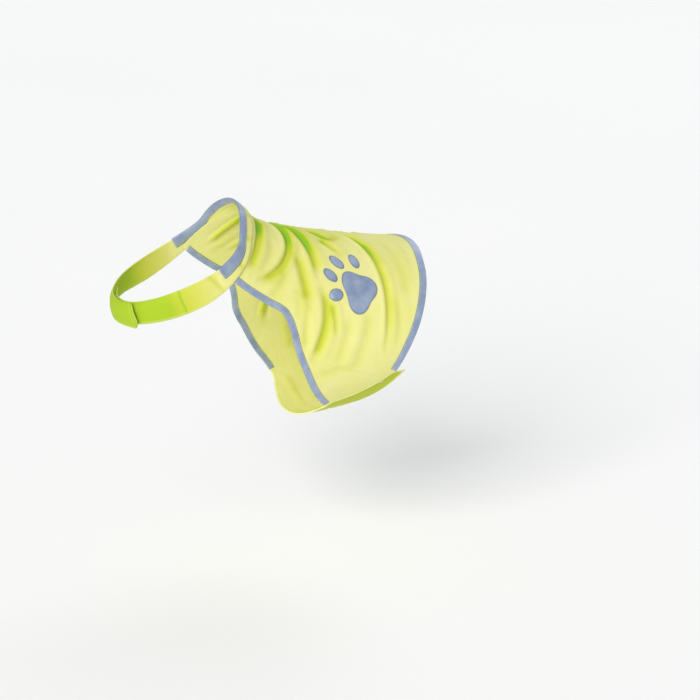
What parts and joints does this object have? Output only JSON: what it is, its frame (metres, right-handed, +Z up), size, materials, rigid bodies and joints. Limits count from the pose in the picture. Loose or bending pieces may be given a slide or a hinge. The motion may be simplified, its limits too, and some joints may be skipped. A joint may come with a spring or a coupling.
{
  "type": "dog safety vest",
  "caption": "Worn, fastened dog safety vest: back panel with belly flaps, neck strap, folded reflective edges and a paw applique, hollow and open at neck, forelegs and rear.",
  "frame": {"origin": "underside of the body panel on the spine over the withers, where the wearer's back holds it up", "axes": "+Z up, -Y towards the wearer's head, +X to the wearer's left, the flank with the paw"},
  "size_m": [0.2396, 0.4422, 0.3155],
  "materials": {
    "yellow_cloth": "matte fluorescent yellow knit polyester",
    "reflective_tape": "satin blue-grey reflective fabric",
    "hook_and_loop": "matte hook-and-loop pile"
  },
  "bodies": {
    "root": {"binding_leg_left": "reflective_tape", "binding_leg_right": "reflective_tape", "binding_rear": "reflective_tape", "body_panel": "yellow_cloth", "collar_band": "yellow_cloth", "collar_tape": "reflective_tape", "patch_hook_belly": "hook_and_loop", "patch_hook_throat": "hook_and_loop", "patch_loop_belly": "hook_and_loop", "patch_loop_throat": "hook_and_loop", "paw_pad": "reflective_tape", "paw_toe_1": "reflective_tape", "paw_toe_2": "reflective_tape", "paw_toe_3": "reflective_tape", "paw_toe_4": "reflective_tape"}
  },
  "joints": []
}
